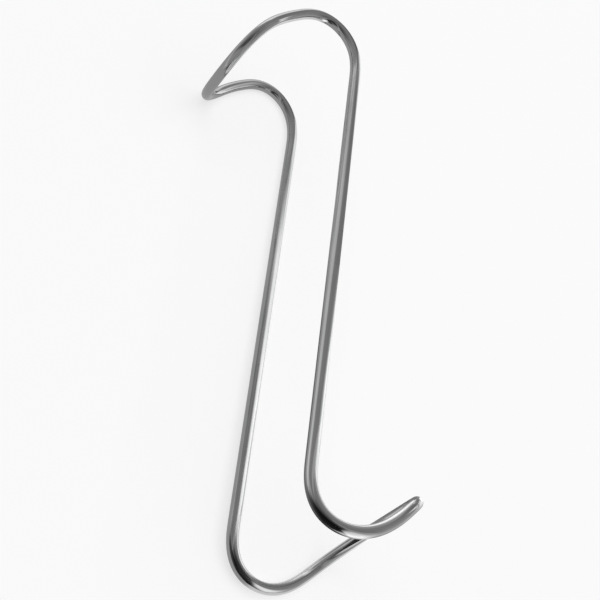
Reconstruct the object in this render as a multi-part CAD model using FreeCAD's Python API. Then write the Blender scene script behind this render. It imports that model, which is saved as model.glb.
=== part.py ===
import FreeCAD, Part
import math, os

# Double-ended handheld retractor: one round wire bent into a long closed loop.
# Two parallel rods make the shank that is held, and each end of the loop is
# curled into a hook, one hook to each side. The blade of a hook is the loop's
# own end bend. The joint of the wire is butt welded and ground flush, so it
# leaves no trace and the whole thing is one solid.
#
# The part lies on its side, as it comes to rest: the shank runs along X, the
# hook at +X curls to +Y and the hook at -X curls to -Y. Origin: centre of the
# bounding box, on the surface it lies on. Millimetres, +Z up.

V = FreeCAD.Vector

# ---- driving dimensions ---------------------------------------------------
WIRE_D = 3.0            # wire diameter
SHANK_STRAIGHT = 121.6  # straight length of the two rods
SHANK_SPACING = 34.6    # centre to centre of the two rods

# Each hook, along the wire from the end of the straight shank: the curvature
# rises from straight to the knee radius, is held, falls again and stays at the
# blade's own slight curve up to the tip of the loop.
NARROW = dict(           # hook at +X, narrower blade
    rise=25.3, knee=0.2, fall=8.8, knee_radius=7.75,
    blade=25.2, blade_curvature=0.019, width=32.2)
WIDE = dict(             # hook at -X, wider blade
    rise=12.6, knee=0.1, fall=26.3, knee_radius=7.8,
    blade=13.4, blade_curvature=-0.006, width=39.8)
# width: centre to centre of the wire where the end bend of the blade starts;
# the end bend is a half circle of half that width, laid on the hook's curve.

# Lying on its side it touches the table at three places, because the wide
# hook stands out past the rods. These two small turns set it down.
REST_TURN_Y_DEG = 0.738
REST_TURN_X_DEG = -2.516

STEP = 0.05             # integration step along the wire
SPAN_MAX = 9.0          # longest stretch replaced by one pair of arcs
SPAN_TOL = 0.008        # how far a pair of arcs may leave the true line


# ---- the hook's side profile ----------------------------------------------
def hook_length(h):
    return h["rise"] + h["knee"] + h["fall"] + h["blade"]


def curvature(h, s):
    a = h["rise"]
    b = a + h["knee"]
    c = b + h["fall"]
    k = 1.0 / h["knee_radius"]
    if s < a:
        return k * s / a
    if s < b:
        return k
    if s < c:
        return k + (h["blade_curvature"] - k) * (s - b) / (c - b)
    return h["blade_curvature"]


def hook_profile(h):
    """Table of (sideways, along, angle) every STEP from the shank's end."""
    n = int(hook_length(h) / STEP) + 4
    table = [(0.0, 0.0, 0.0)]
    y = z = th = 0.0
    for i in range(n):
        k = curvature(h, (i + 0.5) * STEP)
        mid = th + k * STEP / 2
        y += math.sin(mid) * STEP
        z += math.cos(mid) * STEP
        th += k * STEP
        table.append((y, z, th))
    return table


def at(table, s):
    u = s / STEP
    i = min(max(int(u), 0), len(table) - 2)
    f = u - i
    p, q = table[i], table[i + 1]
    return [p[j] + (q[j] - p[j]) * f for j in range(3)]


PROFILE_N = hook_profile(NARROW)
PROFILE_W = hook_profile(WIDE)
HALF = SHANK_STRAIGHT / 2


def on_surface(x, s):
    """Point of the loop: x across the loop, s along it, wrapped on the hooks."""
    if s > HALF:
        y, z, _ = at(PROFILE_N, s - HALF)
        return V(HALF + z, y, -x)
    if s < -HALF:
        y, z, _ = at(PROFILE_W, -s - HALF)
        return V(-HALF - z, -y, -x)
    return V(s, 0, -x)


# ---- the loop before its hooks are bent -----------------------------------
END_N = HALF + hook_length(NARROW) - NARROW["width"] / 2
END_W = -(HALF + hook_length(WIDE) - WIDE["width"] / 2)


def smooth(u):
    u = min(max(u, 0.0), 1.0)
    return u * u * (3 - 2 * u)


def half_width(s):
    w = SHANK_SPACING / 2
    return (w + (NARROW["width"] / 2 - w) * smooth((s - HALF) / (END_N - HALF))
            + (WIDE["width"] / 2 - w) * smooth((-s - HALF) / (-END_W - HALF)))


def rod(sign):
    return lambda s: on_surface(sign * half_width(s), s)


def end_bend(h, centre, direction):
    r = h["width"] / 2
    return lambda a: on_surface(-r * math.cos(a), centre + direction * r * math.sin(a))


# ---- arcs along the true line ---------------------------------------------
def tangent(f, u, du):
    t = f(u + du) - f(u - du)
    t.normalize()
    return t


def biarc(p0, t0, p1, t1):
    """Two tangent arcs from p0 to p1: returns (mid of first, joint, mid of second)."""
    v = p1 - p0
    d = t0 + t1
    a = 2.0 * (1.0 - t0.dot(t1))
    b = 2.0 * v.dot(d)
    c = -v.dot(v)
    if abs(a) < 1e-9:
        k = -c / b
    else:
        k = (-b + math.sqrt(b * b - 4 * a * c)) / (2 * a)
    q0 = p0 + t0 * k
    q1 = p1 - t1 * k
    j = (q0 + q1) * 0.5
    return q0, j, q1


def arc_mid(p, q, r):
    """Middle of the arc from p to r whose tangents meet at q."""
    m = (p + r) * 0.5
    h = (p - r).Length / 2
    leg = (p - q).Length
    up = q - m
    if up.Length < 1e-7:
        return None
    # sagitta of the arc, from the half angle between chord and tangent
    half = math.acos(min(1.0, h / leg))
    sag = h * math.tan(half / 2)
    up.normalize()
    return m + up * sag


def point_arc_distance(p, ends):
    a, q, b = ends
    m = arc_mid(a, q, b)
    if m is None:
        ab = b - a
        t = max(0.0, min(1.0, (p - a).dot(ab) / ab.dot(ab)))
        return (p - (a + ab * t)).Length
    # circle through a, m, b
    c, r, n = circle3(a, m, b)
    v = p - c
    out = v.dot(n)
    flat = v - n * out
    return math.hypot(out, flat.Length - r)


def circle3(a, b, c):
    ab, ac = b - a, c - a
    n = ab.cross(ac)
    n2 = n.dot(n)
    centre = a + (n.cross(ab) * ac.dot(ac) + ac.cross(n) * ab.dot(ab)) * (1.0 / (2 * n2))
    r = (centre - a).Length
    n.normalize()
    return centre, r, n


def arcs_along(f, u0, u1, length):
    """Cuts f(u0..u1) into pairs of tangent arcs that stay within SPAN_TOL."""
    n = 1
    while True:
        du = (u1 - u0) / n
        if abs(length / n) <= SPAN_MAX:
            out, worst = [], 0.0
            for i in range(n):
                a, b = u0 + i * du, u0 + (i + 1) * du
                e = (u1 - u0) * 1e-4
                pa, pb = f(a), f(b)
                ta, tb = tangent(f, a, e), tangent(f, b, e)
                q0, j, q1 = biarc(pa, ta, pb, tb)
                first, second = (pa, q0, j), (j, q1, pb)
                for k in range(1, 10):
                    p = f(a + (b - a) * k / 10)
                    worst = max(worst, min(point_arc_distance(p, first),
                                           point_arc_distance(p, second)))
                out += [first, second]
            if worst < SPAN_TOL or length / n < 1.5:
                return out, worst
        n += 1


# ---- the closed centreline -------------------------------------------------
stretches = []          # (start, tangents' meeting point, end) of every arc
lines = []
worst_all = 0.0

up = rod(1)             # rod that lies on the table, from the wide end to the narrow
down = rod(-1)
path = []               # ("line", a, b) or ("arc", a, q, b)


def add_arcs(f, u0, u1, length):
    global worst_all
    arcs, worst = arcs_along(f, u0, u1, length)
    worst_all = max(worst_all, worst)
    for a, q, b in arcs:
        path.append(("arc", a, q, b))


R_N, R_W = NARROW["width"] / 2, WIDE["width"] / 2
add_arcs(up, END_W, -HALF, -HALF - END_W)
path.append(("line", up(-HALF), up(HALF)))
add_arcs(up, HALF, END_N, END_N - HALF)
add_arcs(lambda a: on_surface(R_N * math.cos(a), END_N + R_N * math.sin(a)), 0.0, math.pi, math.pi * R_N)
add_arcs(lambda s: down(-s), -END_N, -HALF, END_N - HALF)
path.append(("line", down(HALF), down(-HALF)))
add_arcs(lambda s: down(-s), HALF, -END_W, -END_W - HALF)
add_arcs(lambda a: on_surface(-R_W * math.cos(a), END_W - R_W * math.sin(a)), 0.0, math.pi, math.pi * R_W)


# ---- lay it down ------------------------------------------------------------
turn = FreeCAD.Rotation(V(0, 1, 0), REST_TURN_Y_DEG).multiply(
    FreeCAD.Rotation(V(1, 0, 0), REST_TURN_X_DEG))


def turned(item):
    return tuple([item[0]] + [turn.multVec(p) for p in item[1:]])


path = [turned(item) for item in path]

# exact extremes of the centreline from fine samples of the true line
samples = []
for k in range(2001):
    u = k / 2000.0
    for f, a, b in ((up, END_W, END_N), (down, END_W, END_N)):
        samples.append(turn.multVec(f(a + (b - a) * u)))
    samples.append(turn.multVec(on_surface(R_N * math.cos(math.pi * u), END_N + R_N * math.sin(math.pi * u))))
    samples.append(turn.multVec(on_surface(R_W * math.cos(math.pi * u), END_W - R_W * math.sin(math.pi * u))))
low = V(min(p.x for p in samples), min(p.y for p in samples), min(p.z for p in samples))
high = V(max(p.x for p in samples), max(p.y for p in samples), max(p.z for p in samples))
shift = V(-(low.x + high.x) / 2, -(low.y + high.y) / 2, WIRE_D / 2 - low.z)
path = [tuple([item[0]] + [p + shift for p in item[1:]]) for item in path]


# ---- edges and sweep ----------------------------------------------------------
edges, length = [], 0.0
for item in path:
    if item[0] == "line":
        e = Part.LineSegment(item[1], item[2]).toShape()
    else:
        a, q, b = item[1:]
        m = arc_mid(a, q, b)
        e = Part.LineSegment(a, b).toShape() if m is None else Part.Arc(a, m, b).toShape()
    edges.append(e)
    length += e.Length

spine = Part.Wire(edges)
start = path[0][1]
t0 = path[0][2] - path[0][1]
t0.normalize()
section = Part.Wire([Part.Circle(start, t0, WIRE_D / 2).toShape()])
loop = spine.makePipeShell([section], True, False)

expected = math.pi * (WIRE_D / 2) ** 2 * length
print("edges", len(edges), "closed", spine.isClosed(), "length %.3f" % length,
      "worst arc error %.4f" % worst_all)
print("valid", loop.isValid(), loop.ShapeType, "solids", len(loop.Solids),
      "faces", len(loop.Faces), "volume %.3f expected %.3f" % (loop.Volume, expected))
bb = loop.BoundBox
print("box", [round(x, 3) for x in (bb.XMin, bb.YMin, bb.ZMin, bb.XMax, bb.YMax, bb.ZMax)])

os.makedirs("parts", exist_ok=True)
loop.exportStep("parts/wire_loop.step")
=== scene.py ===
import math

import bpy
import numpy as np
from mathutils import Matrix, Quaternion, Vector


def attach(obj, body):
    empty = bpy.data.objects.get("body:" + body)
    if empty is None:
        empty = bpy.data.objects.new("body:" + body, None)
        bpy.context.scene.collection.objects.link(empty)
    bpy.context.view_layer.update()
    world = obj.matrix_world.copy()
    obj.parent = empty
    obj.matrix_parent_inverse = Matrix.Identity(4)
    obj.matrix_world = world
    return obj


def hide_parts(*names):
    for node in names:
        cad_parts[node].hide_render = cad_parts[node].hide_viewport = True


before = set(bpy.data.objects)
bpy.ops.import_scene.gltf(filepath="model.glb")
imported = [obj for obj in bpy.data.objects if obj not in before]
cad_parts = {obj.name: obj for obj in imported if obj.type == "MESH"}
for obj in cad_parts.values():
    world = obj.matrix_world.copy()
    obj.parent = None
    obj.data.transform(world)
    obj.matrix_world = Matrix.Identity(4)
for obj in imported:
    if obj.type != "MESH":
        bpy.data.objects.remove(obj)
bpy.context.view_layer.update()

# ---------------------------------------------------------------------------
# The wire's line, as in the CAD model (mm there, metres here)
# ---------------------------------------------------------------------------
MM = 0.001
WIRE_R = 1.5
SHANK = 121.6
SPACING = 34.6
NARROW = dict(rise=25.3, knee=0.2, fall=8.8, radius=7.75, blade=25.2, curve=0.019, width=32.2)
WIDE = dict(rise=12.6, knee=0.1, fall=26.3, radius=7.8, blade=13.4, curve=-0.006, width=39.8)
TURN_Y, TURN_X = math.radians(0.738), math.radians(-2.516)
HALF = SHANK / 2


def length_of(h):
    return h["rise"] + h["knee"] + h["fall"] + h["blade"]


def profile(h):
    ds = 0.02
    s = np.arange(0.0, length_of(h) + 2.0, ds)
    a = h["rise"]
    b = a + h["knee"]
    c = b + h["fall"]
    k = np.interp(s + ds / 2, [0, a, b, c, c + 200], [0, 1 / h["radius"], 1 / h["radius"], h["curve"], h["curve"]])
    th = np.concatenate([[0], np.cumsum(k * ds)])[:-1]
    y = np.concatenate([[0], np.cumsum(np.sin(th + k * ds / 2) * ds)])[:-1]
    z = np.concatenate([[0], np.cumsum(np.cos(th + k * ds / 2) * ds)])[:-1]
    return s, y, z


PN, PW = profile(NARROW), profile(WIDE)


def on_surface(x, s):
    x, s = np.asarray(x, float), np.asarray(s, float)
    d = np.abs(s) - HALF
    y = np.where(s > HALF, np.interp(d, PN[0], PN[1]), np.where(s < -HALF, -np.interp(d, PW[0], PW[1]), 0.0))
    z = np.where(s > HALF, HALF + np.interp(d, PN[0], PN[2]), np.where(s < -HALF, -HALF - np.interp(d, PW[0], PW[2]), s))
    return np.stack([z, y, -x], -1)


R_N, R_W = NARROW["width"] / 2, WIDE["width"] / 2
END_N = HALF + length_of(NARROW) - R_N
END_W = -(HALF + length_of(WIDE) - R_W)


def smooth(u):
    u = np.clip(u, 0, 1)
    return u * u * (3 - 2 * u)


def half_width(s):
    w = SPACING / 2
    return w + (R_N - w) * smooth((s - HALF) / (END_N - HALF)) + (R_W - w) * smooth((-s - HALF) / (-END_W - HALF))


s = np.linspace(END_W, END_N, 9001)
ph = np.linspace(0, math.pi, 2401)
line = np.concatenate([
    on_surface(half_width(s), s)[:-1],
    on_surface(R_N * np.cos(ph), END_N + R_N * np.sin(ph))[:-1],
    on_surface(-half_width(s[::-1]), s[::-1])[:-1],
    on_surface(-R_W * np.cos(ph), END_W - R_W * np.sin(ph))[:-1],
])
cy, sy, cx, sx = math.cos(TURN_Y), math.sin(TURN_Y), math.cos(TURN_X), math.sin(TURN_X)
turn = np.array([[cy, 0, sy], [0, 1, 0], [-sy, 0, cy]]) @ np.array([[1, 0, 0], [0, cx, -sx], [0, sx, cx]])
line = line @ turn.T
low, high = line.min(0), line.max(0)
line = line + np.array([-(low[0] + high[0]) / 2, -(low[1] + high[1]) / 2, WIRE_R - low[2]])

# rings closer together where the wire bends
closed = np.vstack([line, line[:1]])
seg = np.linalg.norm(np.diff(closed, axis=0), axis=1)
dist = np.concatenate([[0], np.cumsum(seg)])
total = dist[-1]
tan = np.diff(closed, axis=0) / seg[:, None]
bend = np.linalg.norm(np.roll(tan, -40, 0) - np.roll(tan, 40, 0), axis=1) / 80
bend = np.convolve(np.concatenate([bend[-200:], bend, bend[:200]]), np.ones(401) / 401, "valid")
weight = seg * (0.28 + np.minimum(bend / bend.max(), 1) * 1.1)
cum = np.concatenate([[0], np.cumsum(weight)])
RINGS, SIDES = 1150, 72
at = np.interp(np.linspace(0, cum[-1], RINGS, endpoint=False), cum, dist)
centre = np.stack([np.interp(at, dist, closed[:, k]) for k in range(3)], 1)
ahead = np.stack([np.interp((at + 0.05) % total, dist, closed[:, k]) for k in range(3)], 1)
behind = np.stack([np.interp((at - 0.05) % total, dist, closed[:, k]) for k in range(3)], 1)
T = ahead - behind
T /= np.linalg.norm(T, axis=1)[:, None]

# a frame carried along the wire without twist, its closing turn shared out evenly
A = np.zeros((RINGS, 3))
first = np.cross(T[0], [0.0, 0.0, 1.0])
A[0] = first / np.linalg.norm(first)
for i in range(1, RINGS):
    v = A[i - 1] - T[i] * (A[i - 1] @ T[i])
    A[i] = v / np.linalg.norm(v)
v = A[-1] - T[0] * (A[-1] @ T[0])
v /= np.linalg.norm(v)
gap = math.atan2(np.cross(v, A[0]) @ T[0], v @ A[0])
B = np.cross(T, A)
roll = gap * at / total
A2 = A * np.cos(roll)[:, None] + B * np.sin(roll)[:, None]
B2 = -A * np.sin(roll)[:, None] + B * np.cos(roll)[:, None]
ang = np.linspace(0, 2 * math.pi, SIDES, endpoint=False)
pts = centre[:, None, :] + WIRE_R * (np.cos(ang)[None, :, None] * A2[:, None, :] + np.sin(ang)[None, :, None] * B2[:, None, :])
verts = (pts.reshape(-1, 3) * MM).astype(np.float32)
i0 = np.arange(RINGS)[:, None] * SIDES
i1 = ((np.arange(RINGS)[:, None] + 1) % RINGS) * SIDES
j0 = np.arange(SIDES)[None, :]
j1 = (j0 + 1) % SIDES
faces = np.stack([i0 + j0, i0 + j1, i1 + j1, i1 + j0], -1).reshape(-1, 4)

mesh = bpy.data.meshes.new("wire_loop_polished")
mesh.from_pydata(verts.tolist(), [], faces.tolist())
mesh.polygons.foreach_set("use_smooth", [True] * len(mesh.polygons))

# where each point is round the wire and along it, both closed, for the polish
RHO = total * 0.5 / (2 * math.pi)
round_cos = np.tile(np.cos(ang), RINGS)
round_sin = np.tile(np.sin(ang), RINGS)
along = np.repeat(at / total * 2 * math.pi, SIDES)
vec = np.stack([round_cos, round_sin, np.cos(along)], 1).astype(np.float32)
att = mesh.attributes.new("polish_dir", "FLOAT_VECTOR", "POINT")
att.data.foreach_set("vector", vec.ravel())
att = mesh.attributes.new("polish_along", "FLOAT", "POINT")
att.data.foreach_set("value", np.sin(along).astype(np.float32))
mesh.update()
mesh.validate()
wire = bpy.data.objects.new("wire_loop_polished", mesh)
bpy.context.scene.collection.objects.link(wire)


# ---------------------------------------------------------------------------
# Polished stainless steel
# ---------------------------------------------------------------------------
def node(tree, kind, **values):
    n = tree.nodes.new(kind)
    for k, v in values.items():
        setattr(n, k, v)
    return n


steel = bpy.data.materials.new("polished_steel")
steel.use_nodes = True
nt = steel.node_tree
nt.nodes.clear()
L = nt.links.new
out = node(nt, "ShaderNodeOutputMaterial")
bsdf = node(nt, "ShaderNodeBsdfPrincipled")
L(bsdf.outputs[0], out.inputs["Surface"])
bsdf.inputs["Metallic"].default_value = 1.0
bsdf.inputs["IOR"].default_value = 1.5

a_dir = node(nt, "ShaderNodeAttribute", attribute_name="polish_dir")
a_w = node(nt, "ShaderNodeAttribute", attribute_name="polish_along")
obj = node(nt, "ShaderNodeTexCoord")


def stretched(round_scale, along_scale, detail, rough):
    """Noise that is fine round the wire and long along it, with no seam."""
    sc = node(nt, "ShaderNodeVectorMath", operation="MULTIPLY")
    sc.inputs[1].default_value = (round_scale, round_scale, along_scale)
    L(a_dir.outputs["Vector"], sc.inputs[0])
    w = node(nt, "ShaderNodeMath", operation="MULTIPLY")
    w.inputs[1].default_value = along_scale
    L(a_w.outputs["Fac"], w.inputs[0])
    nz = node(nt, "ShaderNodeTexNoise", noise_dimensions="4D")
    nz.inputs["Scale"].default_value = 1.0
    nz.inputs["Detail"].default_value = detail
    nz.inputs["Roughness"].default_value = rough
    L(sc.outputs[0], nz.inputs["Vector"])
    L(w.outputs[0], nz.inputs["W"])
    return nz


lines = stretched(9.0, 26.0, 4.0, 0.6)        # polishing lines along the wire
cloud = node(nt, "ShaderNodeTexNoise", noise_dimensions="3D")
cloud.inputs["Scale"].default_value = 140.0
cloud.inputs["Detail"].default_value = 3.0
L(obj.outputs["Object"], cloud.inputs["Vector"])
ripple = node(nt, "ShaderNodeTexNoise", noise_dimensions="3D")
ripple.inputs["Scale"].default_value = 95.0
ripple.inputs["Detail"].default_value = 1.0
L(obj.outputs["Object"], ripple.inputs["Vector"])

tone = node(nt, "ShaderNodeMapRange")
tone.inputs["From Min"].default_value = 0.3
tone.inputs["From Max"].default_value = 0.7
tone.inputs["To Min"].default_value = 0.0
tone.inputs["To Max"].default_value = 1.0
L(cloud.outputs["Fac"], tone.inputs["Value"])
ramp = node(nt, "ShaderNodeMix", data_type="RGBA")
ramp.inputs["A"].default_value = (0.480, 0.482, 0.485, 1)
ramp.inputs["B"].default_value = (0.520, 0.520, 0.520, 1)
L(tone.outputs["Result"], ramp.inputs["Factor"])
L(ramp.outputs["Result"], bsdf.inputs["Base Color"])

r1 = node(nt, "ShaderNodeMapRange")
r1.inputs["From Min"].default_value = 0.3
r1.inputs["From Max"].default_value = 0.7
r1.inputs["To Min"].default_value = 0.07
r1.inputs["To Max"].default_value = 0.12
L(lines.outputs["Fac"], r1.inputs["Value"])
r2 = node(nt, "ShaderNodeMath", operation="MULTIPLY_ADD")
r2.inputs[1].default_value = 0.03
L(cloud.outputs["Fac"], r2.inputs[0])
L(r1.outputs["Result"], r2.inputs[2])
L(r2.outputs[0], bsdf.inputs["Roughness"])

b1 = node(nt, "ShaderNodeBump")
b1.inputs["Strength"].default_value = 0.35
b1.inputs["Distance"].default_value = 0.00002
L(lines.outputs["Fac"], b1.inputs["Height"])
b2 = node(nt, "ShaderNodeBump")
b2.inputs["Strength"].default_value = 0.5
b2.inputs["Distance"].default_value = 0.00012
L(ripple.outputs["Fac"], b2.inputs["Height"])
L(b1.outputs["Normal"], b2.inputs["Normal"])
L(b2.outputs["Normal"], bsdf.inputs["Normal"])

mesh.materials.append(steel)
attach(wire, "root")
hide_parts("wire_loop")
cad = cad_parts["wire_loop"]
cad.data.materials.clear()
cad.data.materials.append(steel)

# ---------------------------------------------------------------------------
# Floor and light
# ---------------------------------------------------------------------------
scene = bpy.context.scene
scene.view_settings.view_transform = "Standard"


def emitter(name):
    """A stage material that only gives light: returns its tree and its output node."""
    m = bpy.data.materials.new(name)
    m.use_nodes = True
    m.node_tree.nodes.clear()
    m.cycles.emission_sampling = "NONE"
    return m, m.node_tree, node(m.node_tree, "ShaderNodeOutputMaterial")


def rays(o, **seen):
    for kind in ("camera", "diffuse", "glossy", "transmission", "volume_scatter", "shadow"):
        setattr(o, "visible_" + kind, seen.get(kind, False))


LAMP = 1.0
floor_mesh = bpy.data.meshes.new("floor")
F = 4.0
floor_mesh.from_pydata([(-F, -F, 0), (F, -F, 0), (F, F, 0), (-F, F, 0)], [], [(0, 1, 2, 3)])
floor = bpy.data.objects.new("floor", floor_mesh)
scene.collection.objects.link(floor)
paper = bpy.data.materials.new("pale_floor")
paper.use_nodes = True
pb = paper.node_tree.nodes["Principled BSDF"]
pb.inputs["Base Color"].default_value = (0.5, 0.5, 0.5, 1)
pb.inputs["Emission Color"].default_value = (1, 1, 1, 1)
# a light table, so that shadows stay faint; it glows more further out, where the lamp reaches less
pt = paper.node_tree
out_from = node(pt, "ShaderNodeVectorMath", operation="LENGTH")
pt.links.new(node(pt, "ShaderNodeTexCoord").outputs["Object"], out_from.inputs[0])
glow = node(pt, "ShaderNodeMapRange", interpolation_type="SMOOTHSTEP")
for socket, value in (("From Min", 0.0), ("From Max", 2.4), ("To Min", 0.62), ("To Max", 0.80)):
    glow.inputs[socket].default_value = value
pt.links.new(out_from.outputs["Value"], glow.inputs["Value"])
pt.links.new(glow.outputs["Result"], pb.inputs["Emission Strength"])
pb.inputs["Roughness"].default_value = 0.9
pb.inputs["Specular IOR Level"].default_value = 0.1
floor_mesh.materials.append(paper)
rays(floor, camera=True, diffuse=True)

# the studio all round: a smooth change of tone with direction
world = bpy.data.worlds.new("studio")
scene.world = world
world.use_nodes = True
wt = world.node_tree
W = wt.links.new
bg = wt.nodes["Background"]
bg.inputs["Strength"].default_value = 1.0
wc = node(wt, "ShaderNodeTexCoord")
ws = node(wt, "ShaderNodeSeparateXYZ")
W(wc.outputs["Generated"], ws.inputs[0])


def math_of(tree, op, a, b=None, c=None):
    n = node(tree, "ShaderNodeMath", operation=op)
    for i, v in enumerate((a, b, c)):
        if v is None:
            continue
        if isinstance(v, (int, float)):
            n.inputs[i].default_value = v
        else:
            tree.links.new(v, n.inputs[i])
    return n.outputs[0]


X, Y, Z = ws.outputs
TONE = (0.489, -0.023, -0.097, -0.483, 0.321, -0.056, 0.360, -0.118, 0.103)
terms = [None, X, Y, Z, math_of(wt, "MULTIPLY", X, Y), math_of(wt, "MULTIPLY", Y, Z), math_of(wt, "MULTIPLY", X, Z),
         math_of(wt, "SUBTRACT", math_of(wt, "MULTIPLY", X, X), math_of(wt, "MULTIPLY", Y, Y)),
         math_of(wt, "MULTIPLY_ADD", math_of(wt, "MULTIPLY", Z, Z), 3.0, -1.0)]
level = TONE[0]
for term, weight in zip(terms[1:], TONE[1:]):
    level = math_of(wt, "MULTIPLY_ADD", term, weight, level)
level = math_of(wt, "MULTIPLY", level, 8.0)
level = math_of(wt, "LOGARITHM", math_of(wt, "ADD", math_of(wt, "EXPONENT", level), 1.0), math.e)
level = math_of(wt, "MULTIPLY", level, 1 / 8.0)
W(level, bg.inputs["Color"])

# pale surround, which only the camera sees
dome_mesh = bpy.data.meshes.new("backdrop")
NA, NE, DR = 96, 24, 3.9
dv = [(DR * math.cos(2 * math.pi * i / NA) * math.cos(math.pi / 2 * j / NE), DR * math.sin(2 * math.pi * i / NA) * math.cos(math.pi / 2 * j / NE),
       DR * math.sin(math.pi / 2 * j / NE) - 0.01) for j in range(NE) for i in range(NA)] + [(0, 0, DR)]
df = [(j * NA + i, j * NA + (i + 1) % NA, (j + 1) * NA + (i + 1) % NA, (j + 1) * NA + i) for j in range(NE - 1) for i in range(NA)]
df += [((NE - 1) * NA + i, (NE - 1) * NA + (i + 1) % NA, NE * NA) for i in range(NA)]
dome_mesh.from_pydata(dv, [], df)
dome = bpy.data.objects.new("backdrop", dome_mesh)
scene.collection.objects.link(dome)
dm, dt, do = emitter("pale_backdrop")
de = node(dt, "ShaderNodeEmission")
de.inputs["Color"].default_value = (0.965, 0.965, 0.965, 1)
dt.links.new(de.outputs[0], do.inputs["Surface"])
dome_mesh.materials.append(dm)
rays(dome, camera=True)

def panel(name, x, y, z, az, el, roll, w, h, cover, glow):
    """Soft-edged panel that only the steel reflects: it hides the share cover of what is behind it and shines by glow."""
    a, e, r = math.radians(az), math.radians(el), math.radians(roll)
    out_ = Vector((math.cos(a) * math.cos(e), math.sin(a) * math.cos(e), math.sin(e)))
    side = Vector((0, 0, 1)).cross(out_).normalized()
    up = out_.cross(side)
    sx, sy = side * math.cos(r) + up * math.sin(r), up * math.cos(r) - side * math.sin(r)
    hw, hh = w / 2, h / 2
    ex, ey = hw * (1 + FEATHER), hh * (1 + FEATHER)
    me = bpy.data.meshes.new(name)
    me.from_pydata([(-ex, -ey, 0), (ex, -ey, 0), (ex, ey, 0), (-ex, ey, 0)], [], [(0, 1, 2, 3)])
    o = bpy.data.objects.new(name, me)
    o.matrix_world = Matrix.Translation((x, y, z)) @ Matrix((sx, sy, out_)).transposed().to_4x4()
    scene.collection.objects.link(o)
    m, t, mo = emitter(name)
    tc = node(t, "ShaderNodeTexCoord")
    sp = node(t, "ShaderNodeSeparateXYZ")
    t.links.new(tc.outputs["Object"], sp.inputs[0])
    mask = None
    for k, half in ((0, hw), (1, hh)):
        r = node(t, "ShaderNodeMapRange", interpolation_type="SMOOTHSTEP")
        r.inputs["From Min"].default_value = half * (1 + FEATHER)
        r.inputs["From Max"].default_value = half * (1 - FEATHER)
        t.links.new(math_of(t, "ABSOLUTE", sp.outputs[k]), r.inputs["Value"])
        mask = r.outputs["Result"] if mask is None else math_of(t, "MULTIPLY", mask, r.outputs["Result"])
    clear = node(t, "ShaderNodeBsdfTransparent")
    # what is behind shows through by 1 - cover
    grey = node(t, "ShaderNodeCombineColor")
    shade = math_of(t, "MULTIPLY_ADD", mask, -cover, 1.0)
    for k in range(3):
        t.links.new(shade, grey.inputs[k])
    t.links.new(grey.outputs[0], clear.inputs["Color"])
    shine = node(t, "ShaderNodeEmission")
    t.links.new(math_of(t, "MULTIPLY", mask, glow), shine.inputs["Strength"])
    mix = node(t, "ShaderNodeAddShader")
    t.links.new(clear.outputs[0], mix.inputs[0])
    t.links.new(shine.outputs[0], mix.inputs[1])
    t.links.new(mix.outputs[0], mo.inputs["Surface"])
    me.materials.append(m)
    rays(o, glossy=True)
    return o


FEATHER = 0.35

# what the steel reflects of the surface below: pale on one side of the part, a grey card on the other, pale further out
card_mesh = bpy.data.meshes.new("grey_card")
card_mesh.from_pydata([(-F, -F, 0), (F, -F, 0), (F, F, 0), (-F, F, 0)], [], [(0, 1, 2, 3)])
card = bpy.data.objects.new("grey_card", card_mesh)
card.location.z = 0.00005
scene.collection.objects.link(card)
cm, ct, co = emitter("grey_card")
ctc = node(ct, "ShaderNodeTexCoord")
csp = node(ct, "ShaderNodeSeparateXYZ")
ct.links.new(ctc.outputs["Object"], csp.inputs[0])
PALE, GREY, FAR, SIDE, EDGE_AT, EDGE_WIDE = 1.050, 0.485, 0.710, 91.3, -0.0054, 0.0054
across = math_of(ct, "MULTIPLY_ADD", csp.outputs[0], math.cos(math.radians(SIDE)), math_of(ct, "MULTIPLY_ADD", csp.outputs[1], math.sin(math.radians(SIDE)), -EDGE_AT))


def step(tree, value, lo, hi, a, b):
    r = node(tree, "ShaderNodeMapRange", interpolation_type="SMOOTHSTEP")
    for k, v in (("From Min", lo), ("From Max", hi), ("To Min", a), ("To Max", b)):
        r.inputs[k].default_value = v
    tree.links.new(value, r.inputs["Value"])
    return r.outputs["Result"]


near_tone = step(ct, across, -EDGE_WIDE / 2, EDGE_WIDE / 2, PALE, GREY)
out_by = math_of(ct, "SQRT", math_of(ct, "MULTIPLY_ADD", csp.outputs[0], csp.outputs[0], math_of(ct, "MULTIPLY", csp.outputs[1], csp.outputs[1])))
far_part = step(ct, out_by, 0.10, 0.35, 0.0, 1.0)
tone_down = math_of(ct, "MULTIPLY_ADD", far_part, math_of(ct, "SUBTRACT", FAR, near_tone), near_tone)
ce = node(ct, "ShaderNodeEmission")
ct.links.new(tone_down, ce.inputs["Strength"])
ct.links.new(ce.outputs[0], co.inputs["Surface"])
card_mesh.materials.append(cm)
rays(card, glossy=True)

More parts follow.
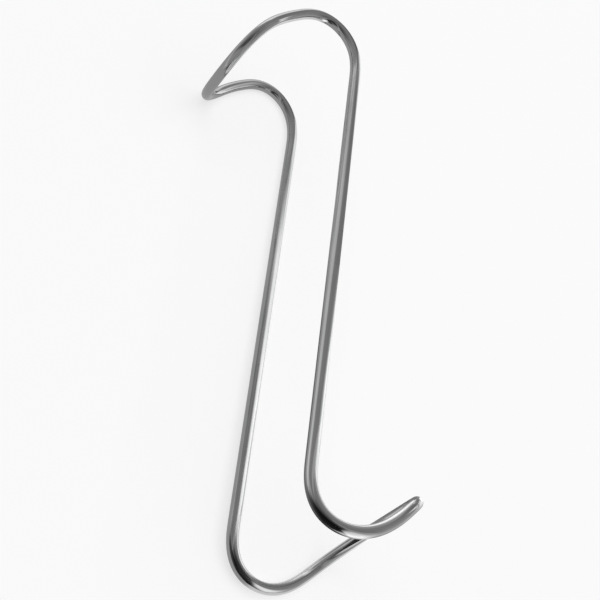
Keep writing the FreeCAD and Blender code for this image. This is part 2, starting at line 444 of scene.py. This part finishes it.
PANELS = [  # place (x, y, z), its normal (azimuth, elevation), roll, width, height, cover, glow
    ("panel_01", 1.167, 0.442, 0.345, 346, -8, 60, 1.127, 0.985, 0.33, 1.07),
    ("panel_02", 0.245, -0.415, 0.284, 276, -27, -19, 0.077, 0.582, 0.75, 1.10),
    ("panel_03", 0.507, -0.199, 0.108, 293, 34, 24, 0.109, 0.368, 0.97, 0.12),
    ("panel_04", -0.167, -0.080, 0.299, 238, 21, 5, 0.081, 0.782, 0.06, 0.24),
    ("panel_05", -0.170, -0.000, 0.103, 310, 17, -57, 0.294, 0.111, 0.99, 0.01),
    ("panel_06", 0.180, -0.003, 0.019, 345, 76, -4, 0.051, 0.122, 0.83, 0.80),
    ("panel_07", 0.143, -0.084, 0.000, 67, -36, -57, 0.074, 0.169, 0.81, 1.28),
    ("panel_08", -0.021, 0.112, 0.061, 118, -11, -31, 0.079, 0.119, 0.38, 0.33),
    ("panel_09", -0.103, -0.025, 0.034, 259, 24, -76, 0.055, 0.033, 0.01, 0.98),
    ("panel_10", -0.063, 0.035, 0.082, 57, -44, -39, 0.016, 0.293, 0.01, 0.23),
    ("panel_11", 0.011, -0.090, 0.044, 34, -74, -29, 0.150, 0.019, 0.93, 0.39),
    ("panel_12", -0.075, -0.062, 0.017, 269, -65, 20, 0.088, 0.042, 0.92, 0.46),
    ("panel_13", 0.013, 0.071, 0.060, 225, -8, 13, 0.174, 0.046, 0.28, 0.49),
    ("panel_14", -0.087, -0.005, 0.021, 147, 68, -154, 0.025, 0.033, 0.97, 0.04),
    ("panel_15", -0.047, -0.064, 0.011, 91, 62, 9, 0.048, 0.069, 0.66, 1.30),
    ("panel_16", -0.072, 0.022, 0.011, 293, 92, 150, 0.172, 0.025, 0.65, 0.05),
    ("panel_17", -0.050, -0.035, 0.034, 217, -14, -14, 0.019, 0.067, 0.92, 0.20),
    ("panel_18", 0.034, 0.034, 0.033, 302, -36, -68, 0.029, 0.027, 0.84, 0.36),
    ("panel_19", 0.007, -0.053, 0.015, 157, 76, 26, 0.060, 0.148, 0.87, 0.02),
    ("panel_20", -0.035, -0.024, 0.016, 310, -3, -4, 0.025, 0.135, 0.31, 0.37),
    ("panel_21", 0.020, -0.038, 0.010, 62, 66, 33, 0.047, 0.043, 0.80, 0.34),
    ("panel_22", -0.002, -0.036, 0.012, 132, -51, 36, 0.089, 0.070, 0.11, 1.33),
]
for row in PANELS:
    panel(*row)

# light on the floor from overhead, wide so that shadows stay soft
lamp = bpy.data.lights.new("overhead", "AREA")
lamp.shape = "RECTANGLE"
lamp.size = lamp.size_y = 2.4
lamp.energy = LAMP * 2.4 * 2.4 * math.pi
lo = bpy.data.objects.new("overhead", lamp)
lo.location = (0, 0, 1.6)
rays(lo, diffuse=True, shadow=True)
scene.collection.objects.link(lo)

# camera at the photograph's viewing angle
cam_data = bpy.data.cameras.new("camera")
cam = bpy.data.objects.new("camera", cam_data)
cam_data.sensor_fit = "AUTO"
cam_data.sensor_width = 36.0
cam_data.lens = 73.652
cam_data.clip_start, cam_data.clip_end = 0.01, 50.0
cam.location = (-0.195968, 0.121227, 0.237936)
cam.rotation_mode = "QUATERNION"
cam.rotation_quaternion = Quaternion((0.7446836, 0.0214819, -0.3876839, -0.5428499))
scene.collection.objects.link(cam)
scene.camera = cam
